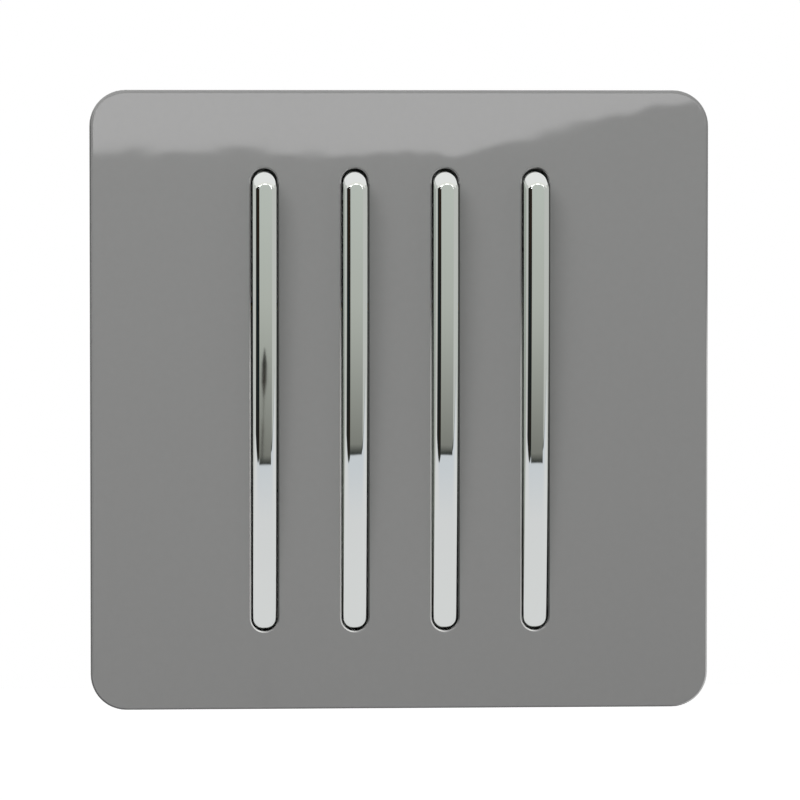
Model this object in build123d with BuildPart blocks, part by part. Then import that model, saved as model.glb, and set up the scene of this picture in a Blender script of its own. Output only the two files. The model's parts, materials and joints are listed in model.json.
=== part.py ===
from build123d import *
from math import cos, pi, radians, sin, sqrt, tan
import os

os.makedirs("parts", exist_ok=True)

# Four-gang rocker light switch with long bar rockers, in millimetres.
# X runs right as seen from the room, Y into the wall and Z up. The wall is the plane y = 0,
# and the origin is midway between the two box fixings. Sizes called depth are measured into
# the wall from that plane, and sizes called height towards the room.
# Every rocker is modelled with its lower end pressed in.

# Gangs
gang_count = 4
gang_pitch = 13.15

# Front plate
plate_width = 90.0
plate_corner = 5.2
plate_height = 9.0
plate_edge_round = 0.5
face_wall = 2.5
skirt_wall = 1.8
slot_edge = 0.2
back_rib = 1.2
back_rib_height = 1.6
back_rib_place = 37.0
pry_notch_width = 7.0
pry_notch_height = 1.2

# Rocker bar
bar_width = 3.3
bar_length = 66.9
bar_side_gap = 0.3
bar_end_gap = 0.2
bar_crown = 1.3
bar_draft = 12.0
bar_draft_height = 4.2
bar_corner = 1.4
bar_edge_round = 0.8
bar_pressed_proud = 0.15
rocker_tilt = 3.5
pivot_height = 2.0
seat_height = 3.0

# Legs that snap the bar into the dolly
leg_width = 2.4
leg_length = 5.0
leg_place = 9.0
leg_barb = 0.25
leg_tip = 0.6
leg_gap = 0.1

# Dolly
dolly_width = 9.2
dolly_length = 26.0
dolly_plate = 2.0
hub_radius = 2.4
trunnion_radius = 1.5
trunnion_length = 1.2
trunnion_gap = 0.05
boss_width = 6.2
bore_radius = 1.95
bore_roof = 1.5

# Spring and plunger
spring_radius = 1.45
spring_wire = 0.4
spring_turns = 5
spring_sides = 12
spring_end_gap = 0.15
plunger_radius = 1.85
plunger_guide = 3.1
plunger_show = 0.5
plunger_nose = 1.5
nose_proud = 0.8
nose_width = 2.4
lever_rest_gap = 0.16

# Contact lever
lever_ratio = 2.4
lever_depth = 9.4
lever_wall = 1.0
lever_width = 5.0
lever_overhang = 1.7
knife_radius = 0.45
knife_gap = 0.05
contact_arm = 10.5

# Contacts
contact_width = 3.0
contact_length = 2.2
contact_head = 0.8
contact_dome = 4.0
contact_gap = 0.04
fixed_contact_width = 3.4
fixed_contact_length = 3.0
fixed_contact_head = 0.7

# Terminals
strip_wall = 0.9
strip_width = 4.4
strip_foot = 2.3
strip_bend = 0.8
riser_reach = 2.35
riser_inset = 0.6
horn_width = 7.0
horn_gap = 0.1
horn_height = 1.4
block_width = 4.8
block_length = 7.0
block_depth = 5.6
block_end_wall = 1.4
block_offset = 2.0
common_offset = -2.9
common_block_left = 2.0
common_block_right = 5.1
wire_width = 3.0
wire_depth = 2.2
clamp_radius = 1.6
clamp_gap = 0.05
clamp_proud = 1.8
clamp_reach = 2.2
driver_slot = 0.7

# Mechanism housing
chamber_width = 9.6
chamber_end_gap = 0.5
housing_wall = 1.3
housing_corner = 1.5
back_cover = 0.1
floor_wall = 1.6
pocket_gap = 0.1
core_width = 1.2
core_front = 2.0
ear_width = 8.0
ear_wall = 3.0
ear_screw_place = 3.5
ear_end = 3.5
keeper_gap = 0.1

# Mounting frame
frame_gap = 0.4
frame_wall = 2.0
rim_wall = 1.5
rim_height = 4.5
window_length = 28.0
cheek_length = 16.0
cheek_height = 5.0
outer_cheek = 1.2
fixing_spacing = 60.3
fixing_width = 4.0
fixing_length = 6.0
screw_boss_width = 6.0
screw_boss_height = 5.0
rib_wall = 1.2
rib_height = 3.6
rib_place = 36.0

# Screws between frame and housing
screw_radius = 1.25
screw_reach = 6.5
screw_head_radius = 2.4
screw_head = 1.6
screw_clear = 0.25
recess_width = 0.6
recess_length = 3.0
recess_depth = 0.9

# Clips between plate and frame
clip_width = 8.0
clip_wall = 1.4
clip_place = 22.0
clip_inset = 4.6
clip_barb = 0.7
clip_barb_height = 0.8
clip_gap = 0.1
clip_room = 0.8

# Worked out from the sizes above
gang_x = [(n - (gang_count - 1) / 2) * gang_pitch for n in range(gang_count)]
cheek_x = [(n - gang_count / 2) * gang_pitch for n in range(1, gang_count)]
chamber_edge = gang_x[-1] + chamber_width / 2
cheek_wall = gang_pitch - chamber_width
back_height = plate_height - face_wall
slot_width = bar_width + 2 * bar_side_gap
slot_length = bar_length + 2 * bar_end_gap
tilt = radians(rocker_tilt)
swing = radians(rocker_tilt * lever_ratio)
bar_half = bar_length / 2
end_height = (plate_height - pivot_height + bar_pressed_proud + bar_half * sin(tilt)) / cos(tilt)
crown_height = end_height + bar_crown
draft_height = end_height - bar_draft_height
bar_top = bar_length - 2 * (crown_height - draft_height) * tan(radians(bar_draft))
frame_size = plate_width - 2 * skirt_wall - 2 * frame_gap
frame_corner = plate_corner - skirt_wall - frame_gap
lever_length = 2 * (contact_arm + lever_overhang)
lever_drop = contact_arm * sin(swing) + contact_head * cos(swing)
fixed_face = lever_depth + lever_drop + contact_dome * (1 - cos(swing)) + contact_gap
fixed_place = contact_arm * cos(swing) + (contact_dome - contact_head) * sin(swing)
floor_depth = fixed_face + fixed_contact_head + strip_wall
riser_place = fixed_place + riser_reach
chamber_length = 2 * (riser_place + strip_wall + chamber_end_gap)
terminal_depth = floor_depth + floor_wall
block_end = terminal_depth + block_depth
housing_depth = block_end + clamp_proud + back_cover
block_z = riser_place - riser_inset + block_length / 2
housing_length = 2 * block_z + block_length + 2 * block_end_wall
ear_place = housing_length / 2 + ear_screw_place
ear_reach = ear_place + ear_end
common_block_width = common_block_left + common_block_right
common_block_x = common_offset + (common_block_right - common_block_left) / 2
blade_wall = 2 * knife_radius
blade_start = lever_depth - horn_height
nose_centre = (
    (lever_depth + pivot_height) * cos(swing) - lever_wall - plunger_nose - lever_rest_gap
) / cos(swing + tilt)
boss_reach = nose_centre - nose_proud - plunger_show
guide_start = nose_centre - nose_proud - plunger_guide
clip_z = plate_width / 2 - clip_inset


# A plane facing the room at a given height, or behind the wall where the height is negative.
def facing(height, angle=0.0):
    normal = (0, -cos(angle), -sin(angle))
    return Plane(origin=(0, -height, 0), x_dir=(1, 0, 0), z_dir=normal)


# A plane seen from the side: its x runs towards the room and its y up.
def sideways(height, angle=0.0, x=0.0):
    towards = (0, -cos(angle), -sin(angle))
    return Plane(origin=(x, -height, 0), x_dir=towards, z_dir=(-1, 0, 0))


rocker_plane = facing(pivot_height, tilt)
rocker_side = sideways(pivot_height, tilt)
lever_plane = facing(-lever_depth, -swing)
lever_side = sideways(-lever_depth, -swing)


# A brass clamp block with its square way for the wire and its screw hole.
def clamp_block(x, z, width, screw_x):
    with BuildPart() as block:
        with BuildSketch(facing(-terminal_depth)):
            with Locations((x, z)):
                Rectangle(width, block_length)
        extrude(amount=-block_depth)
        with BuildSketch(Plane.XY.offset(z - block_length / 2)):
            with Locations((screw_x, terminal_depth + wire_depth)):
                Rectangle(wire_width, wire_width)
        extrude(amount=block_length, mode=Mode.SUBTRACT)
        with BuildSketch(facing(-block_end)):
            with Locations((screw_x, z)):
                Circle(clamp_radius + clamp_gap)
        extrude(amount=block_depth - wire_depth, mode=Mode.SUBTRACT)
    return block.part


def save(piece, name):
    piece.label = name
    export_step(piece, f"parts/{name}.step")


# The same piece in every gang, numbered from the left.
def save_gangs(piece, name):
    for n, x in enumerate(gang_x, start=1):
        save(piece.moved(Location((x, 0, 0))), f"{name}_{n}")


# Front plate
with BuildPart() as front_plate:
    with BuildSketch(facing(0)):
        RectangleRounded(plate_width, plate_width, plate_corner)
    extrude(amount=plate_height)
    fillet(front_plate.faces().sort_by(Axis.Y)[0].edges(), plate_edge_round)
    with BuildSketch(facing(0)):
        inside = plate_width - 2 * skirt_wall
        RectangleRounded(inside, inside, plate_corner - skirt_wall)
    extrude(amount=back_height, mode=Mode.SUBTRACT)
    with BuildSketch(facing(back_height)):
        for side in (-1, 1):
            with Locations((0, side * back_rib_place)):
                Rectangle(inside, back_rib)
            with Locations((side * back_rib_place, 0)):
                Rectangle(back_rib, inside)
    extrude(amount=-back_rib_height)
    with BuildSketch(facing(back_height)):
        with Locations([(x, 0) for x in gang_x]):
            SlotOverall(slot_length, slot_width, rotation=90)
    extrude(amount=face_wall, mode=Mode.SUBTRACT)
    slot_rims = front_plate.faces().sort_by(Axis.Y)[0].inner_wires()
    chamfer([edge for rim in slot_rims for edge in rim.edges()], slot_edge)
    for side in (-1, 1):
        for x in (-clip_place, clip_place):
            with BuildSketch(sideways(0, x=x)):
                with BuildLine():
                    z = clip_z
                    Polyline(
                        (back_height, side * (z - clip_wall)),
                        (clip_gap, side * (z - clip_wall)),
                        (clip_gap, side * (z + clip_barb / 2)),
                        (clip_gap + clip_barb_height / 2, side * (z + clip_barb)),
                        (clip_gap + clip_barb_height, side * (z + clip_barb)),
                        (clip_gap + clip_barb_height, side * z),
                        (back_height, side * z),
                        close=True,
                    )
                make_face()
            extrude(amount=clip_width / 2, both=True)
    with BuildSketch(facing(0)):
        with Locations((0, -(plate_width - skirt_wall) / 2)):
            Rectangle(pry_notch_width, 2 * skirt_wall)
    extrude(amount=pry_notch_height, mode=Mode.SUBTRACT)
save(front_plate.part, "front_plate")

# Mounting frame
with BuildPart() as mounting_frame:
    with BuildSketch(facing(0)):
        RectangleRounded(frame_size, frame_size, frame_corner)
    extrude(amount=frame_wall)
    with BuildSketch(facing(frame_wall)):
        RectangleRounded(frame_size, frame_size, frame_corner)
        offset(amount=-rim_wall, mode=Mode.SUBTRACT)
    extrude(amount=rim_height - frame_wall)
    with BuildSketch(facing(frame_wall)):
        for side in (-1, 1):
            with Locations((0, side * rib_place)):
                Rectangle(frame_size - rim_wall, rib_wall)
            with Locations((side * rib_place, 0)):
                Rectangle(rib_wall, frame_size - rim_wall)
    extrude(amount=rib_height - frame_wall)
    # Bearing cheeks between the windows
    with BuildSketch(facing(frame_wall)):
        with Locations([(x, 0) for x in cheek_x]):
            Rectangle(cheek_wall, cheek_length)
        for side in (-1, 1):
            with Locations((side * (chamber_edge + outer_cheek / 2), 0)):
                Rectangle(outer_cheek, cheek_length)
    extrude(amount=cheek_height - frame_wall)
    with BuildSketch(facing(0)):
        with Locations([(x, 0) for x in gang_x]):
            Rectangle(chamber_width, window_length)
    extrude(amount=frame_wall, mode=Mode.SUBTRACT)
    with BuildSketch(sideways(pivot_height)):
        Circle(trunnion_radius + trunnion_gap)
        with Locations((-pivot_height / 2, 0)):
            Rectangle(pivot_height, 2 * (trunnion_radius + trunnion_gap))
    extrude(amount=chamber_edge + outer_cheek, both=True, mode=Mode.SUBTRACT)
    # Slots for the two box fixings
    with BuildSketch(facing(0)):
        with Locations((-fixing_spacing / 2, 0), (fixing_spacing / 2, 0)):
            SlotOverall(fixing_length, fixing_width)
    extrude(amount=frame_wall, mode=Mode.SUBTRACT)
    # Bosses for the housing screws
    with BuildSketch(facing(frame_wall)):
        with GridLocations(2 * gang_pitch, 2 * ear_place, 2, 2):
            Rectangle(screw_boss_width, screw_boss_width)
    extrude(amount=screw_boss_height - frame_wall)
    with BuildSketch(facing(0)):
        with GridLocations(2 * gang_pitch, 2 * ear_place, 2, 2):
            Circle(screw_radius)
    extrude(amount=screw_reach - ear_wall + screw_clear, mode=Mode.SUBTRACT)
    # Windows for the clips, with a ledge that the barbs catch
    for side in (-1, 1):
        with BuildSketch(facing(0)):
            with Locations((-clip_place, side * (clip_z - clip_wall / 2)),
                           (clip_place, side * (clip_z - clip_wall / 2))):
                Rectangle(clip_width + 2 * clip_gap, clip_wall + 2 * clip_gap)
            with Locations((-clip_place, side * (clip_z - clip_wall - clip_room / 2)),
                           (clip_place, side * (clip_z - clip_wall - clip_room / 2))):
                Rectangle(clip_width + 2 * clip_gap, clip_room)
        extrude(amount=frame_wall, mode=Mode.SUBTRACT)
        with BuildSketch(facing(0)):
            with Locations((-clip_place, side * (clip_z + clip_barb / 2)),
                           (clip_place, side * (clip_z + clip_barb / 2))):
                Rectangle(clip_width + 2 * clip_gap, clip_barb + 2 * clip_gap)
        extrude(amount=2 * clip_gap + clip_barb_height, mode=Mode.SUBTRACT)
save(mounting_frame.part, "mounting_frame")

# Mechanism housing
with BuildPart() as mechanism_housing:
    with BuildSketch(facing(0)):
        RectangleRounded(2 * (chamber_edge + housing_wall), housing_length, housing_corner)
    extrude(amount=-housing_depth)
    with BuildSketch(facing(0)):
        with Locations((-gang_pitch, 0), (gang_pitch, 0)):
            SlotOverall(2 * ear_reach, ear_width, rotation=90)
    extrude(amount=-ear_wall)
    with BuildSketch(facing(0)):
        with Locations([(x, 0) for x in gang_x]):
            Rectangle(chamber_width, chamber_length)
    extrude(amount=-floor_depth, mode=Mode.SUBTRACT)
    # Floor slots, terminal pockets, and the way to the common terminal from below
    for x in gang_x:
        with BuildSketch(facing(-floor_depth)):
            for side in (-1, 1):
                with Locations((x, side * (riser_place + strip_wall / 2))):
                    Rectangle(strip_width + 2 * pocket_gap, strip_wall + 2 * pocket_gap)
            with Locations((x, 0)):
                Rectangle(horn_width + 2 * pocket_gap, blade_wall + 2 * pocket_gap)
        extrude(amount=-floor_wall, mode=Mode.SUBTRACT)
        with BuildSketch(facing(-terminal_depth)):
            for side in (-1, 1):
                with Locations((x + block_offset, side * block_z)):
                    Rectangle(block_width + 2 * pocket_gap, block_length + 2 * pocket_gap)
            with Locations((x + common_block_x, 0)):
                Rectangle(common_block_width + 2 * pocket_gap, block_length + 2 * pocket_gap)
            with Locations((x + common_offset, -housing_length / 4)):
                Rectangle(wire_width, housing_length / 2)
        extrude(amount=-(housing_depth - terminal_depth), mode=Mode.SUBTRACT)
        for side in (-1, 1):
            with BuildSketch(Plane.XY.offset(side * block_z)):
                with Locations((x + block_offset, terminal_depth + wire_depth)):
                    Rectangle(wire_width, wire_width)
            extrude(amount=side * housing_length / 2, mode=Mode.SUBTRACT)
    # Gaps that keep the walls between the gangs thin
    with BuildSketch(facing(-core_front)):
        with Locations([(x, 0) for x in cheek_x]):
            Rectangle(core_width, housing_length - 2 * housing_wall)
    extrude(amount=-(housing_depth - core_front), mode=Mode.SUBTRACT)
    # Holes for the frame screws
    with BuildSketch(facing(0)):
        with GridLocations(2 * gang_pitch, 2 * ear_place, 2, 2):
            Circle(screw_radius + screw_clear)
    extrude(amount=-ear_wall, mode=Mode.SUBTRACT)
    # Keepers that close the bearings behind the trunnions
    with BuildSketch(facing(0)):
        keeper = 2 * (trunnion_radius + trunnion_gap - keeper_gap)
        with Locations([(x, 0) for x in cheek_x]):
            Rectangle(cheek_wall - 2 * keeper_gap, keeper)
        for side in (-1, 1):
            with Locations((side * (chamber_edge + outer_cheek / 2), 0)):
                Rectangle(outer_cheek - 2 * keeper_gap, keeper)
    extrude(amount=pivot_height - trunnion_radius - trunnion_gap)
save(mechanism_housing.part, "mechanism_housing")

# Screws that hold the housing to the frame
with BuildPart() as housing_screws:
    with BuildSketch(facing(-ear_wall)):
        with GridLocations(2 * gang_pitch, 2 * ear_place, 2, 2):
            Circle(screw_radius)
    extrude(amount=screw_reach)
    with BuildSketch(facing(-ear_wall)):
        with GridLocations(2 * gang_pitch, 2 * ear_place, 2, 2):
            Circle(screw_head_radius)
    extrude(amount=-screw_head)
    with BuildSketch(facing(-ear_wall - screw_head)):
        with GridLocations(2 * gang_pitch, 2 * ear_place, 2, 2):
            Rectangle(recess_length, recess_width)
            Rectangle(recess_width, recess_length)
    extrude(amount=recess_depth, mode=Mode.SUBTRACT)
save(housing_screws.part, "housing_screws")

# Rocker bar: its ends drafted above the plate, its face crowned lengthwise
with BuildPart() as rocker_bar:
    with BuildSketch(rocker_side):
        with BuildLine():
            Polyline(
                (draft_height, -bar_half),
                (crown_height, -bar_top / 2),
                (crown_height, bar_top / 2),
                (draft_height, bar_half),
                close=True,
            )
        make_face()
    extrude(amount=bar_width / 2, both=True)
    corners = rocker_bar.edges().filter_by(Axis.X, reverse=True).sort_by(SortBy.LENGTH)[:4]
    fillet(corners, bar_corner)
    with BuildSketch(rocker_plane.offset(seat_height)):
        Rectangle(bar_width, bar_length)
    extrude(amount=draft_height - seat_height)
    with BuildSketch(rocker_plane.offset(seat_height)):
        SlotOverall(bar_length, bar_width, rotation=90)
    extrude(amount=crown_height - seat_height, mode=Mode.INTERSECT)
    with BuildSketch(rocker_side):
        with BuildLine():
            ThreePointArc((end_height, -bar_half), (crown_height, 0), (end_height, bar_half))
            Polyline(
                (end_height, bar_half),
                (seat_height, bar_half),
                (seat_height, -bar_half),
                (end_height, -bar_half),
            )
        make_face()
    extrude(amount=bar_width, both=True, mode=Mode.INTERSECT)
    fillet(rocker_bar.faces().sort_by(Axis.Y)[0].edges(), bar_edge_round)
    # Two legs with barbs that snap under the dolly
    with BuildSketch(rocker_side):
        for side in (-1, 1):
            with BuildLine():
                inner = side * (leg_place - leg_length / 2)
                outer = side * (leg_place + leg_length / 2)
                catch = seat_height - dolly_plate - leg_gap
                Polyline(
                    (seat_height, inner),
                    (catch - leg_tip, inner),
                    (catch - leg_tip, outer),
                    (catch, outer + side * leg_barb),
                    (catch, outer),
                    (seat_height, outer),
                    close=True,
                )
            make_face()
    extrude(amount=leg_width / 2, both=True)
save_gangs(rocker_bar.part, "rocker_bar")

# Dolly: the seat for the bar, the hub with its two trunnions, and the boss for the plunger
with BuildPart() as rocker_dolly:
    with BuildSketch(rocker_side):
        with Locations((seat_height - dolly_plate / 2, 0)):
            Rectangle(dolly_plate, dolly_length)
        Circle(hub_radius)
    extrude(amount=dolly_width / 2, both=True)
    with BuildSketch(rocker_side):
        Circle(trunnion_radius)
    extrude(amount=dolly_width / 2 + trunnion_length, both=True)
    with BuildSketch(rocker_plane):
        Rectangle(boss_width, boss_width)
    extrude(amount=-boss_reach)
    with BuildSketch(rocker_plane.offset(-boss_reach)):
        Circle(bore_radius)
    extrude(amount=boss_reach + bore_roof, mode=Mode.SUBTRACT)
    with BuildSketch(rocker_plane.offset(seat_height)):
        with Locations((0, -leg_place), (0, leg_place)):
            Rectangle(leg_width + 2 * leg_gap, leg_length + 2 * leg_gap)
    extrude(amount=-dolly_plate, mode=Mode.SUBTRACT)
save_gangs(rocker_dolly.part, "rocker_dolly")

# Plunger spring of flat-sided wire, pressed between the roof of the bore and the plunger
with BuildPart() as dolly_spring:
    spring_start = spring_wire / 2 + spring_end_gap - guide_start
    spring_length = bore_roof + guide_start - spring_wire - 2 * spring_end_gap
    spring_points = []
    for step in range(spring_turns * spring_sides + 1):
        turn = 2 * pi * step / spring_sides
        rise = spring_start + spring_length * step / (spring_turns * spring_sides)
        point = (spring_radius * cos(turn), spring_radius * sin(turn), rise)
        spring_points.append(rocker_plane.from_local_coords(point))
    with BuildLine() as coil:
        Polyline(*spring_points)
    with BuildSketch(Plane(origin=coil.line @ 0, z_dir=coil.line % 0)):
        Rectangle(spring_wire, spring_wire)
    sweep(path=coil.line, transition=Transition.RIGHT)
save_gangs(dolly_spring.part, "dolly_spring")

# Plunger: a round guide in the bore, and a blade with a half-round edge on the lever
with BuildPart() as plunger:
    with BuildSketch(rocker_plane.offset(-guide_start)):
        Circle(plunger_radius)
    extrude(amount=-plunger_guide)
    with BuildSketch(rocker_side):
        with BuildLine():
            Polyline(
                (-nose_centre, plunger_nose),
                (-guide_start - plunger_guide, plunger_nose),
                (-guide_start - plunger_guide, -plunger_nose),
                (-nose_centre, -plunger_nose),
            )
            RadiusArc((-nose_centre, -plunger_nose), (-nose_centre, plunger_nose), plunger_nose)
        make_face()
    extrude(amount=nose_width / 2, both=True)
save_gangs(plunger.part, "plunger")

# Contact lever: a strip that rocks on the knife edge of the common terminal
with BuildPart() as contact_lever:
    with BuildSketch(lever_plane):
        Rectangle(lever_width, lever_length)
    extrude(amount=lever_wall)
    with BuildSketch(lever_side):
        Circle(knife_radius + knife_gap)
    extrude(amount=lever_width, both=True, mode=Mode.SUBTRACT)
save_gangs(contact_lever.part, "contact_lever")

# Moving contacts, brazed on the lever with their rounded faces towards the wall
with BuildPart() as moving_contacts:
    with BuildSketch(lever_side):
        for side in (-1, 1):
            with BuildLine():
                near = side * (contact_arm - contact_length / 2)
                far = side * (contact_arm + contact_length / 2)
                shoulder = contact_head - contact_dome + sqrt(contact_dome**2 - contact_length**2 / 4)
                Polyline((-shoulder, near), (0, near), (0, far), (-shoulder, far))
                ThreePointArc((-shoulder, far), (-contact_head, side * contact_arm), (-shoulder, near))
            make_face()
    extrude(amount=contact_width / 2, both=True)
save_gangs(moving_contacts.part, "moving_contacts")

# Fixed contacts, brazed on the strips that carry them
with BuildPart() as fixed_contacts:
    with BuildSketch(facing(strip_wall - floor_depth)):
        with Locations((0, -fixed_place), (0, fixed_place)):
            Rectangle(fixed_contact_width, fixed_contact_length)
    extrude(amount=fixed_contact_head)
save_gangs(fixed_contacts.part, "fixed_contacts")


# A switched terminal: contact strip, riser through the floor and clamp block in one piece.
def switched_terminal(side):
    block = clamp_block(block_offset, side * block_z, block_width, block_offset)
    with BuildPart() as terminal:
        with BuildSketch(sideways(0)):
            with BuildLine():
                front = strip_wall - floor_depth
                Polyline(
                    (front, side * (fixed_place - strip_foot)),
                    (front, side * (riser_place + strip_wall)),
                    (-terminal_depth, side * (riser_place + strip_wall)),
                    (-terminal_depth, side * riser_place),
                    (-floor_depth, side * riser_place),
                    (-floor_depth, side * (fixed_place - strip_foot)),
                    close=True,
                )
            make_face()
        extrude(amount=strip_width / 2, both=True)
        bends = terminal.edges().filter_by(Axis.X).group_by(Axis.Y)[0]
        fillet(bends.sort_by(Axis.Z)[-1 if side > 0 else 0], strip_bend)
        add(block)
    return terminal.part


save_gangs(switched_terminal(1), "upper_terminal")
save_gangs(switched_terminal(-1), "lower_terminal")

# Common terminal: clamp block and upright blade, with the knife edge between two horns
common_block = clamp_block(common_block_x, 0, common_block_width, common_offset)
with BuildPart() as common_terminal:
    with BuildSketch(sideways(0)):
        with Locations((-(blade_start + terminal_depth) / 2, 0)):
            Rectangle(terminal_depth - blade_start, blade_wall)
    extrude(amount=horn_width / 2, both=True)
    with BuildSketch(facing(-lever_depth)):
        Rectangle(lever_width + 2 * horn_gap, blade_wall)
    extrude(amount=horn_height, mode=Mode.SUBTRACT)
    with BuildSketch(sideways(-lever_depth)):
        Circle(knife_radius)
    extrude(amount=lever_width / 2 + horn_gap, both=True)
    add(common_block)
save_gangs(common_terminal.part, "common_terminal")

# Clamp screws, backed off so that a wire can enter
with BuildPart() as terminal_screws:
    clamps = [(block_offset, block_z), (common_offset, 0), (block_offset, -block_z)]
    with BuildSketch(facing(-block_end - clamp_proud)):
        with Locations(clamps):
            Circle(clamp_radius)
    extrude(amount=clamp_proud + clamp_reach)
    with BuildSketch(facing(-block_end - clamp_proud)):
        with Locations(clamps):
            Rectangle(2 * clamp_radius, driver_slot)
    extrude(amount=driver_slot, mode=Mode.SUBTRACT)
save_gangs(terminal_screws.part, "terminal_screws")
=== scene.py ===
import json
from math import cos, radians, sin

import bmesh
import bpy
from mathutils import Matrix, Vector


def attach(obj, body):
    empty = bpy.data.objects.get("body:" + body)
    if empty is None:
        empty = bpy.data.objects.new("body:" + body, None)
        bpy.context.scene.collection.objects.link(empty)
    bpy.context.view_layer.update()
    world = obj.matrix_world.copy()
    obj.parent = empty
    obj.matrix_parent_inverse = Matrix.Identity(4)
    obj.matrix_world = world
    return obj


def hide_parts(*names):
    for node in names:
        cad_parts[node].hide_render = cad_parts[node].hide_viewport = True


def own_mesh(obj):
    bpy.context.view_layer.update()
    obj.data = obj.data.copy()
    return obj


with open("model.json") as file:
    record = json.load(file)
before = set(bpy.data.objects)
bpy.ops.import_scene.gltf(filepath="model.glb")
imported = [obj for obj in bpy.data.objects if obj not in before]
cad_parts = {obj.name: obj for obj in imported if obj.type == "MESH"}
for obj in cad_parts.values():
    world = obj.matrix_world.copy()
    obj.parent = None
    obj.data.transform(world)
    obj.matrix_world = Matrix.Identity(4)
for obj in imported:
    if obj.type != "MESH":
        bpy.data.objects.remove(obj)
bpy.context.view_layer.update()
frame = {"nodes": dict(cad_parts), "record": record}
print("frame loaded:", len(frame["nodes"]), "nodes")


# A socket's value: sums and products on it add Math nodes
class Value:
    def __init__(self, builder, socket):
        self.builder = builder
        self.socket = socket

    def maths(self, operation, first, second):
        return self.builder.node("ShaderNodeMath", {"operation": operation}, {0: first, 1: second})

    def __add__(self, other):
        return self.maths("ADD", self, other)

    def __radd__(self, other):
        return self.maths("ADD", other, self)

    def __sub__(self, other):
        return self.maths("SUBTRACT", self, other)

    def __rsub__(self, other):
        return self.maths("SUBTRACT", other, self)

    def __mul__(self, other):
        return self.maths("MULTIPLY", self, other)

    def __rmul__(self, other):
        return self.maths("MULTIPLY", other, self)


# Adds nodes to one tree, each through the method "node"
class Builder:
    def __init__(self, tree):
        self.tree = tree

    def node(self, kind, settings, inputs, output=0):
        made = self.tree.nodes.new(kind)
        for key, value in settings.items():
            if key == "stops":
                self.fillRamp(made.color_ramp, value)  # places with a colour or a grey level each
            else:
                setattr(made, key, value)
        for key, value in inputs.items():
            self.plug(made.inputs[key], value)
        return Value(self, made.outputs[output])

    def fillRamp(self, ramp, stops):
        while len(ramp.elements) < len(stops):
            ramp.elements.new(0.5)
        for element, (place, colour) in zip(ramp.elements, stops):
            element.position = place
            element.color = (*colour, 1) if isinstance(colour, tuple) else (colour, colour, colour, 1)

    def plug(self, socket, value):
        if isinstance(value, Value):
            self.tree.links.new(value.socket, socket)
        else:
            socket.default_value = value

    def blend(self, factor, first, second):
        colours = {6: first, 7: second}  # a Mix node's sockets for colours
        for key, colour in colours.items():
            if not isinstance(colour, Value):
                colours[key] = (*colour, 1)
        return self.node("ShaderNodeMix", {"data_type": "RGBA"}, {0: factor, **colours}, 2)

    def part(self, vector, axis):
        return self.node("ShaderNodeSeparateXYZ", {}, {"Vector": vector}, axis)

    def seenWhite(self):
        seen, glossy, clear = (
            self.node("ShaderNodeLightPath", {}, {}, name)
            for name in ("Is Camera Ray", "Is Glossy Ray", "Is Transmission Ray")
        )
        return seen.maths("MAXIMUM", seen.maths("MAXIMUM", seen, glossy), clear)


# A material on Object coordinates
class Finish(Builder):
    sockets = {
        "colour": "Base Color",
        "roughness": "Roughness",
        "metal": "Metallic",
        "ior": "IOR",
        "normal": "Normal",
        "glow": "Emission Color",
        "glowStrength": "Emission Strength",
    }
    bevelSamples = 4

    def __init__(self, name):
        self.material = bpy.data.materials.new(name)
        self.material.use_nodes = True
        super().__init__(self.material.node_tree)
        self.place = self.node("ShaderNodeTexCoord", {}, {}, "Object")

    def shade(self, **inputs):
        shader = next(n for n in self.tree.nodes if n.type == "BSDF_PRINCIPLED")
        for key, value in inputs.items():
            if isinstance(value, tuple):
                value = (*value, 1)
            self.plug(shader.inputs[self.sockets[key]], value)
        return self.material

    def noise(self, scale, detail=2.0, stretch=(1, 1, 1)):
        place = self.node("ShaderNodeMapping", {}, {"Vector": self.place, "Scale": stretch})
        return self.node("ShaderNodeTexNoise", {}, {"Vector": place, "Scale": scale, "Detail": detail})

    def softEdge(self, radius):
        return self.node("ShaderNodeBevel", {"samples": self.bevelSamples}, {"Radius": radius})

    def bump(self, height, depth, normal=None):
        inputs = {"Height": height, "Distance": depth}
        if normal:
            inputs["Normal"] = normal
        return self.node("ShaderNodeBump", {}, inputs)


def paint(material, *bases):
    for name, node in frame["nodes"].items():
        if any(name == base or name.rsplit("_", 1)[0] == base for base in bases):
            for slot in node.material_slots:
                slot.material = material


def shaded(colour, share):
    return tuple(share * c for c in colour)


# 0 before a line and 1 past it
def past(value, line, sharpness):
    steps = (value - line) * sharpness
    clamped = {"operation": "ADD", "use_clamp": True}
    return steps.builder.node("ShaderNodeMath", clamped, {0: steps, 1: 0.5})


# 1 on a face that looks at the room, 0.5 on one that looks sideways
def facingRoom(finish, normal):
    return 0.5 - 0.5 * finish.part(normal, "Y")


# The moulded face: even grey gloss with a trace of orange peel, a painted highlight on edges that
# face right, and painted shade on edges that face left or down
plateLook = {
    "colour": (0.210, 0.210, 0.208),
    "fleck": 0.05,  # how much darker the darkest grain is
    "grainScale": 900.0,
    "grainDetail": 3.0,
    "smearScale": 35.0,
    "roughness": (0.012, 0.03),
    "peelScale": 120.0,
    "peelDetail": 1.0,
    "peelDepth": 0.000008,
    "ior": 1.5,
    "softEdge": 0.00012,
    "edgeStops": [(0.70, 0), (0.80, 1), (0.90, 1), (0.95, 0)],  # by how much it faces the room
    "edgeSharpness": 2.0,
    # colour of the painted highlight on edges that face right
    "paintedHighlightColour": (0.62, 0.62, 0.61),
    "paintedHighlightFrom": 0.0,
    "paintedHighlightTop": 0.011,  # above this height the slots' rims get no painted highlight
    "paintedHighlightFade": 90.0,
    # colour of the painted shade on edges that face left or down
    "paintedShadeColour": (0.05, 0.05, 0.05),
    "paintedShadeFrom": 0.5,
}


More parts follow.
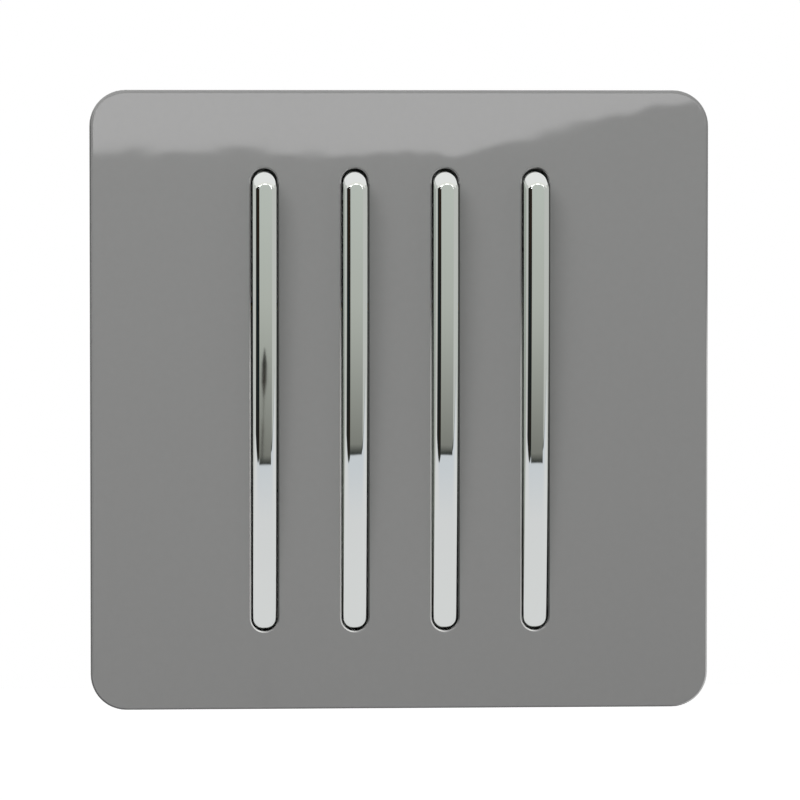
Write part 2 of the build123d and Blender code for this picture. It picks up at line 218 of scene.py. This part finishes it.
def plateFinish(look):
    finish = Finish("greyGlossMoulding")
    grain = finish.noise(look["grainScale"], look["grainDetail"])
    smear = finish.noise(look["smearScale"])
    peel = finish.noise(look["peelScale"], look["peelDetail"])
    bare = finish.node("ShaderNodeNewGeometry", {}, {}, "Normal")
    facing = facingRoom(finish, bare)
    edge = finish.node("ShaderNodeValToRGB", {"stops": look["edgeStops"]}, {"Fac": facing})
    rightward = finish.part(bare, "X")
    upward = finish.part(bare, "Z")
    height = finish.part(finish.place, "Z")
    # Painted highlight: a light colour on edges that face right, below a given height
    paintedHighlight = edge * past(rightward, look["paintedHighlightFrom"], look["edgeSharpness"])
    paintedHighlight = paintedHighlight * past(look["paintedHighlightTop"] - height, 0.0, look["paintedHighlightFade"])
    # Painted shade: a dark colour on edges that face left or down
    paintedShade = edge * past(-1 * rightward - upward, look["paintedShadeFrom"], look["edgeSharpness"])
    colour = finish.blend(grain, look["colour"], shaded(look["colour"], 1 - look["fleck"]))
    colour = finish.blend(paintedHighlight, colour, look["paintedHighlightColour"])
    smooth, rough = look["roughness"]
    return finish.shade(
        colour=finish.blend(paintedShade, colour, look["paintedShadeColour"]),
        roughness=smooth + (rough - smooth) * smear,
        normal=finish.bump(peel, look["peelDepth"], finish.softEdge(look["softEdge"])),
        ior=look["ior"],
    )


# Bright plating over a moulding that isn't quite flat. The plating builds up over the edges,
# so the sides lean their shine towards the room, and the face dips a little near its upper end
chromeLook = {
    "colour": (0.74, 0.76, 0.74),
    "smearShade": 0.97,
    "smearScale": 140.0,
    "smearDetail": 3.0,
    "smearStretch": (1, 1, 0.3),
    "roughness": (0.008, 0.02),
    "waveScale": 60.0,
    "waveDetail": 1.0,
    "waveStretch": (1, 1, 0.4),
    "waveDepth": 0.000004,
    "lean": 0.9,
    "leanStops": [(0.40, 0), (0.50, 1), (0.62, 0.9), (1.0, 0)],  # by how much it faces the room
    "dip": 0.013,
    "dipFrom": 0.008,
    "dipTo": 0.026,
}


def chromeFinish(look):
    finish = Finish("barChrome")
    smear = finish.noise(look["smearScale"], look["smearDetail"], look["smearStretch"])
    wave = finish.noise(look["waveScale"], look["waveDetail"], look["waveStretch"])
    bare = finish.node("ShaderNodeNewGeometry", {}, {}, "Normal")
    facing = facingRoom(finish, bare)
    lean = finish.node("ShaderNodeValToRGB", {"stops": look["leanStops"]}, {"Fac": facing})
    lean = look["lean"] * lean
    dip = look["dip"] * finish.node(
        "ShaderNodeMapRange",
        {"interpolation_type": "SMOOTHSTEP"},
        {"Value": finish.part(finish.place, "Z"), "From Min": look["dipFrom"], "From Max": look["dipTo"]},
    )
    push = finish.node("ShaderNodeCombineXYZ", {}, {"Y": -1 * lean, "Z": -1 * dip})
    leant = finish.node("ShaderNodeVectorMath", {"operation": "ADD"}, {0: bare, 1: push})
    level = finish.node("ShaderNodeVectorMath", {"operation": "NORMALIZE"}, {0: leant})
    smooth, rough = look["roughness"]
    return finish.shade(
        colour=finish.blend(smear, look["colour"], shaded(look["colour"], look["smearShade"])),
        metal=1.0,
        roughness=smooth + (rough - smooth) * smear,
        normal=finish.bump(wave, look["waveDepth"], level),
    )


# Satin mouldings behind the plate: spark-eroded grain, faint flow marks and soft edges.
# Each has its colour, least roughness, grain depth and edge radius
mouldLooks = {
    "whiteMoulding": ((0.74, 0.74, 0.71), 0.38, 0.00004, 0.0002),
    "blackMoulding": ((0.028, 0.028, 0.030), 0.42, 0.00005, 0.0002),
    "dollyNylon": ((0.035, 0.035, 0.037), 0.34, 0.00003, 0.0001),
    "plungerNylon": ((0.78, 0.76, 0.69), 0.32, 0.00002, 0.0001),
}
mouldSet = {
    "grainScale": 2600.0,
    "flowScale": 60.0,
    "flowDetail": 2.0,
    "flowStretch": (1, 1, 3),
    "flowShade": 0.9,
    "flowRoughness": 0.1,
    "ior": 1.5,
}


def mouldFinish(name):
    colour, roughness, depth, edge = mouldLooks[name]
    finish = Finish(name)
    grain = finish.noise(mouldSet["grainScale"])
    flow = finish.noise(mouldSet["flowScale"], mouldSet["flowDetail"], mouldSet["flowStretch"])
    return finish.shade(
        colour=finish.blend(flow, colour, shaded(colour, mouldSet["flowShade"])),
        roughness=roughness + mouldSet["flowRoughness"] * flow,
        normal=finish.bump(grain, depth, finish.softEdge(edge)),
        ior=mouldSet["ior"],
    )


# Metals inside: drawn, rolled or plated, each with its own grain direction
metalLooks = {
    "terminalBrass": {
        "colour": (0.73, 0.53, 0.24),
        "dark": (0.55, 0.37, 0.16),
        "roughness": 0.25,
        "scale": 700.0,
        "stretch": (1, 0.12, 1),
        "depth": 0.00002,
        "edge": 0.0001,
    },
    "leverBrass": {
        "colour": (0.78, 0.55, 0.25),
        "dark": (0.62, 0.40, 0.17),
        "roughness": 0.21,
        "scale": 900.0,
        "stretch": (1, 1, 0.08),
        "depth": 0.00001,
        "edge": 0.0001,
    },
    "zincSteel": {
        "colour": (0.66, 0.67, 0.66),
        "dark": (0.50, 0.52, 0.55),
        "roughness": 0.23,
        "scale": 500.0,
        "stretch": (1, 1, 1),
        "depth": 0.00002,
        "edge": 0.00015,
    },
    "springSteel": {
        "colour": (0.56, 0.56, 0.57),
        "dark": (0.40, 0.40, 0.41),
        "roughness": 0.19,
        "scale": 1500.0,
        "stretch": (1, 1, 1),
        "depth": 0.00001,
        "edge": 0.0001,
    },
    "contactSilver": {
        "colour": (0.88, 0.87, 0.83),
        "dark": (0.72, 0.70, 0.64),
        "roughness": 0.17,
        "scale": 800.0,
        "stretch": (1, 1, 1),
        "depth": 0.00001,
        "edge": 0.0001,
    },
}
metalSet = {"grainDetail": 3.0, "grainRoughness": 0.12, "patchScale": 220.0}


def metalFinish(name):
    look = metalLooks[name]
    finish = Finish(name)
    grain = finish.noise(look["scale"], metalSet["grainDetail"], look["stretch"])
    patch = finish.noise(metalSet["patchScale"])
    return finish.shade(
        colour=finish.blend(patch, look["colour"], look["dark"]),
        metal=1.0,
        roughness=look["roughness"] + metalSet["grainRoughness"] * grain,
        normal=finish.bump(grain, look["depth"], finish.softEdge(look["edge"])),
    )


paint(plateFinish(plateLook), "front_plate")
paint(chromeFinish(chromeLook), "rocker_bar")
paint(mouldFinish("whiteMoulding"), "mounting_frame")
paint(mouldFinish("blackMoulding"), "mechanism_housing")
paint(mouldFinish("dollyNylon"), "rocker_dolly")
paint(mouldFinish("plungerNylon"), "plunger")
paint(metalFinish("terminalBrass"), "common_terminal", "upper_terminal", "lower_terminal")
paint(metalFinish("leverBrass"), "contact_lever")
paint(metalFinish("zincSteel"), "housing_screws", "terminal_screws")
springSteel = metalFinish("springSteel")
paint(springSteel, "dolly_spring")
paint(metalFinish("contactSilver"), "moving_contacts", "fixed_contacts")
print("finishes on")

# The CAD springs are rigid. A copy of each stands for it and moves with its rocker; how far it would
# shorten as its plunger is pressed is worked out, but the copy doesn't shorten
springSet = {"gangs": 4, "slot": "spring_steel", "merge": 0.000001}


def makeSpring(gang):
    shape = bmesh.new()
    shape.from_mesh(frame["nodes"][f"dolly_spring_{gang}"].data)
    bmesh.ops.remove_doubles(shape, verts=shape.verts, dist=springSet["merge"])
    mesh = bpy.data.meshes.new(f"pressedSpring{gang}")
    shape.to_mesh(mesh)
    shape.free()
    mesh.materials.clear()
    mesh.materials.append(springSteel)
    spring = bpy.data.objects.new(f"pressedSpring{gang}", mesh)
    bpy.context.collection.objects.link(spring)

    joints = {joint["name"]: joint for joint in frame["record"]["behaviour"]["joints"]}
    press = joints[f"plunger_{gang}_press"]
    axis = Vector(press["axis"])
    along = [v.co.dot(axis) for v in mesh.vertices]
    keep = 1 - press["range_m"][1] / (max(along) - min(along))
    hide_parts(f"dolly_spring_{gang}")
    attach(spring, f"rocker_{gang}")
    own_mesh(spring)


for gang in range(1, springSet["gangs"] + 1):
    makeSpring(gang)
print("springs shaped")

# The photograph's view: from a little left and above
cameraSet = {
    "azimuth": -3.58,
    "elevation": 2.5,
    "distance": 0.8,
    "frameWidth": 0.1163,
    "sensor": 36.0,
    "clipStart": 0.01,
    "aim": (0.0, -0.009, 0.0),
}


def placeCamera():
    aim = Vector(cameraSet["aim"])
    a, e = radians(cameraSet["azimuth"]), radians(cameraSet["elevation"])
    back = Vector((sin(a) * cos(e), -cos(a) * cos(e), sin(e)))
    data = bpy.data.cameras.new("photoLens")
    data.sensor_width = cameraSet["sensor"]
    data.lens = cameraSet["sensor"] * cameraSet["distance"] / cameraSet["frameWidth"]
    data.clip_start = cameraSet["clipStart"]
    camera = bpy.data.objects.new("photoCamera", data)
    camera.location = aim + back * cameraSet["distance"]
    camera.rotation_euler = back.to_track_quat("Z", "Y").to_euler()
    bpy.context.collection.objects.link(camera)
    bpy.context.scene.camera = camera


def makeSheet(name, size, turn, place):
    shape = bmesh.new()
    bmesh.ops.create_grid(shape, x_segments=1, y_segments=1, size=0.5)
    stretch = Matrix.Diagonal((*size, 1, 1))
    bmesh.ops.transform(shape, matrix=Matrix.Translation(place) @ turn @ stretch, verts=shape.verts)
    mesh = bpy.data.meshes.new(name)
    shape.to_mesh(mesh)
    shape.free()
    sheet = bpy.data.objects.new(name, mesh)
    bpy.context.collection.objects.link(sheet)
    return sheet


# A pale floor that looks white and keeps the shadow
floorSet = {
    "height": -0.62,
    "reach": 12.0,
    "colours": ((0.90, 0.90, 0.90), (0.92, 0.92, 0.92)),
    "noiseScale": 40.0,
    "noiseDetail": 3.0,
    "glow": (0.55, 0.55, 0.55),
    "roughness": 0.8,
}


def makeFloor():
    size = (floorSet["reach"], floorSet["reach"])
    floor = makeSheet("paleFloor", size, Matrix.Identity(4), (0, 0, floorSet["height"]))
    finish = Finish("paleFloorFinish")
    scuff = finish.noise(floorSet["noiseScale"], floorSet["noiseDetail"])
    finish.shade(
        colour=finish.blend(scuff, *floorSet["colours"]),
        roughness=floorSet["roughness"],
        glow=finish.blend(finish.seenWhite(), (0, 0, 0), floorSet["glow"]),
        glowStrength=1.0,
    )
    floor.data.materials.append(finish.material)


# Studio cards round the front that only reflections see. The front one is dim above the line of
# the table, with a soft box over it and a dark flag at its left. Places are metres across and up
cardSet = {
    "distance": 1.5,
    "reach": 3.2,
    "bottom": -0.61,
    "top": 1.4,
    "sharpness": 400.0,
    "stops": [  # by height
        (-0.345, (0.21, 0.21, 0.19)),
        (-0.11, (0.54, 0.56, 0.52)),
        (0.04, (0.63, 0.67, 0.63)),
    ],
    "sideGlow": (0.64, 0.65, 0.63),
    "lowGlow": (0.86, 0.86, 0.87),
    "sideSharpness": 8.0,
}


def rampOver(finish, value, stops):
    low, high = stops[0][0], stops[-1][0]
    share = (value - low) * (1 / (high - low))
    places = [((place - low) / (high - low), colour) for place, colour in stops]
    return finish.node("ShaderNodeValToRGB", {"stops": places}, {"Fac": share})


def hangCard(name, size, turn, place):
    card = makeSheet(name, size, turn, place)
    card.visible_camera = False
    card.visible_diffuse = False
    card.visible_shadow = False
    finish = Finish(name + "Glow")
    card.data.materials.append(finish.material)
    return finish


def lightCard(finish, glow):
    if not isinstance(glow, Value):
        glow = (*glow, 1)
    light = finish.node("ShaderNodeEmission", {}, {"Color": glow, "Strength": 1.0})
    output = next(n for n in finish.tree.nodes if n.type == "OUTPUT_MATERIAL")
    finish.plug(output.inputs["Surface"], light)


# The dark flag, which leans, and a thin dark streak beside it
flagSet = {
    "high": (-0.22, -0.06),  # a height, and how far right the flag reaches there
    "low": (-0.33, 0.028),
    "left": -2.6,
    "leftSharpness": 4.0,
    "top": 0.3,
    "topSharpness": 20.0,
    "colours": ((0.030, 0.017, 0.010), (0.006, 0.018, 0.022)),
    "patchScale": 5.0,
    "patchShare": 0.5,
    "patchSharpness": 6.0,
    "streakPlace": 0.0365,
    "streakStops": [  # by height, half its width in millimetres
        (-0.335, 0.3),
        (-0.285, 0.3),
        (-0.265, 0.12),
        (-0.24, 0.2),
        (-0.215, 1),
        (-0.19, 1),
        (-0.165, 0),
    ],
    "streakUnit": 0.001,
    "streakSharpness": 4000.0,
    "streakLeast": 0.00005,
    "streakCut": 20000.0,
}


def flagOver(finish, across, up, glow):
    patches = finish.noise(flagSet["patchScale"])
    patches = past(patches, flagSet["patchShare"], flagSet["patchSharpness"])
    dark = finish.blend(patches, *flagSet["colours"])
    (highUp, highEdge), (lowUp, lowEdge) = flagSet["high"], flagSet["low"]
    edge = finish.node(
        "ShaderNodeMapRange",
        {},
        {"Value": up, "From Min": lowUp, "From Max": highUp, "To Min": lowEdge, "To Max": highEdge},
    )
    flag = past(edge - across, 0.0, cardSet["sharpness"])
    flag = flag * past(across, flagSet["left"], flagSet["leftSharpness"])
    flag = flag * past(flagSet["top"] - up, 0.0, flagSet["topSharpness"])
    glow = finish.blend(flag, glow, dark)

    aside = across - flagSet["streakPlace"]
    aside = aside.maths("ABSOLUTE", aside, 0.0)
    halfWidth = flagSet["streakUnit"] * rampOver(finish, up, flagSet["streakStops"])
    streak = past(halfWidth, aside, flagSet["streakSharpness"])
    streak = streak * past(halfWidth, flagSet["streakLeast"], flagSet["streakCut"])
    return finish.blend(streak, glow, dark)


# The table, bright under its line, with a shaded strip on the line
tableSet = {
    "line": -0.322,
    "stops": [  # by height
        (-0.61, (0.87, 0.87, 0.88)),
        (-0.42, (0.84, 0.84, 0.86)),
        (-0.34, (0.75, 0.78, 0.83)),
    ],
    "drop": 0.016,
    "dropStops": [  # by place across, the share of the drop
        (0.024, 0),
        (0.031, 1),
        (0.044, 1),
        (0.056, 0.1),
        (0.095, 0),
        (0.118, 0.15),
        (0.143, 0.85),
        (0.158, 0.9),
        (0.170, 0),
    ],
    "slope": 0.035,
    "wave": 0.006,
    "waveScale": 90.0,
    "shadeDepth": 0.009,
    "shadeSharpness": 80.0,
    "shadeColour": (0.05, 0.055, 0.05),
}


def tableUnder(finish, across, up, glow):
    ripple = tableSet["wave"] * (finish.noise(tableSet["waveScale"]) - 0.5)
    drop = tableSet["drop"] * rampOver(finish, across, tableSet["dropStops"])
    slope = tableSet["slope"] * across.maths("MINIMUM", across, 0.0)
    line = tableSet["line"] - drop + slope + ripple
    shade = past(line + tableSet["shadeDepth"], up, tableSet["shadeSharpness"])
    glow = finish.blend(shade, glow, tableSet["shadeColour"])
    table = past(line, up, cardSet["sharpness"])
    return finish.blend(table, glow, rampOver(finish, up, tableSet["stops"]))


# The soft box, whose lower side rises to the right
boxSet = {
    "glow": (4.0, 4.0, 4.0),
    "line": 0.038,
    "rise": 0.215,
    "riseFrom": 0.118,
    "wave": 0.006,
    "waveScale": 14.0,
    "start": 0.02,
    "lean": 2.0,
    "end": 0.5,
    "endSharpness": 6.0,
    "top": 0.34,
    "topSharpness": 30.0,
    "overGlow": (0.98, 0.98, 0.94),
}


def boxOver(finish, across, up, glow):
    rise = across - boxSet["riseFrom"]
    rise = rise.maths("MAXIMUM", rise, 0.0)
    swell = boxSet["wave"] * (finish.noise(boxSet["waveScale"]) - 0.5)
    line = boxSet["line"] + boxSet["rise"] * rise + swell
    box = past(up, line, cardSet["sharpness"])
    box = box * past(across + boxSet["lean"] * up, boxSet["start"], cardSet["sharpness"])
    box = box * past(boxSet["end"] - across, 0.0, boxSet["endSharpness"])
    glow = finish.blend(box, glow, boxSet["glow"])
    over = past(up, boxSet["top"], boxSet["topSharpness"])
    return finish.blend(over, glow, boxSet["overGlow"])


def makeFrontCard():
    size = (2 * cardSet["reach"], cardSet["top"] - cardSet["bottom"])
    middle = (cardSet["top"] + cardSet["bottom"]) / 2
    upright = Matrix.Rotation(radians(90), 4, "X")
    finish = hangCard("frontCard", size, upright, (0, -cardSet["distance"], middle))
    across = finish.part(finish.place, "X")
    up = finish.part(finish.place, "Z")
    glow = flagOver(finish, across, up, rampOver(finish, up, cardSet["stops"]))
    right = past(across, boxSet["end"], boxSet["endSharpness"])
    glow = finish.blend(right, glow, cardSet["sideGlow"])
    glow = tableUnder(finish, across, up, glow)
    lightCard(finish, boxOver(finish, across, up, glow))


def makeSideCards():
    reach, height = cardSet["reach"], cardSet["top"] - cardSet["bottom"]
    middle = (cardSet["top"] + cardSet["bottom"]) / 2
    sideways = Matrix.Rotation(radians(90), 4, "Y")
    for name, x in (("leftCard", -reach), ("rightCard", reach)):
        finish = hangCard(name, (height, 2 * cardSet["distance"]), sideways, (x, 0, middle))
        low = past(tableSet["line"], finish.part(finish.place, "Z"), cardSet["sideSharpness"])
        lightCard(finish, finish.blend(low, cardSet["sideGlow"], cardSet["lowGlow"]))
    size = (2 * reach, 2 * cardSet["distance"])
    low = hangCard("lowCard", size, Matrix.Identity(4), (0, 0, cardSet["bottom"]))
    lightCard(low, cardSet["lowGlow"])


# Even light from all round, and two soft lamps that the chrome doesn't show
lampSet = {
    "airGlow": (0.5, 0.5, 0.5),
    "keyPlace": (-0.14, -0.42, 0.40),
    "keySize": 0.5,
    "keyPower": 2.9,
    "fillPlace": (-0.5, -1.2, 0.7),
    "fillSize": 1.0,
    "fillPower": 2.0,
}


def makeLamp(name):
    data = bpy.data.lights.new(name + "Lamp", "AREA")
    data.shape = "SQUARE"
    data.size = lampSet[name + "Size"]
    data.energy = lampSet[name + "Power"]
    lamp = bpy.data.objects.new(name + "Lamp", data)
    lamp.location = lampSet[name + "Place"]
    lamp.visible_glossy = False
    lamp.rotation_euler = lamp.location.to_track_quat("Z", "Y").to_euler()
    bpy.context.collection.objects.link(lamp)


def makeAir():
    world = bpy.data.worlds.new("studioAir")
    bpy.context.scene.world = world
    world.use_nodes = True
    air = Builder(world.node_tree)
    background = next(n for n in world.node_tree.nodes if n.type == "BACKGROUND")
    air.plug(background.inputs["Color"], air.blend(air.seenWhite(), lampSet["airGlow"], (1, 1, 1)))


placeCamera()
makeFloor()
makeFrontCard()
makeSideCards()
makeAir()
makeLamp("key")
makeLamp("fill")
bpy.context.scene.view_settings.view_transform = "Standard"
print("camera, floor and light placed")
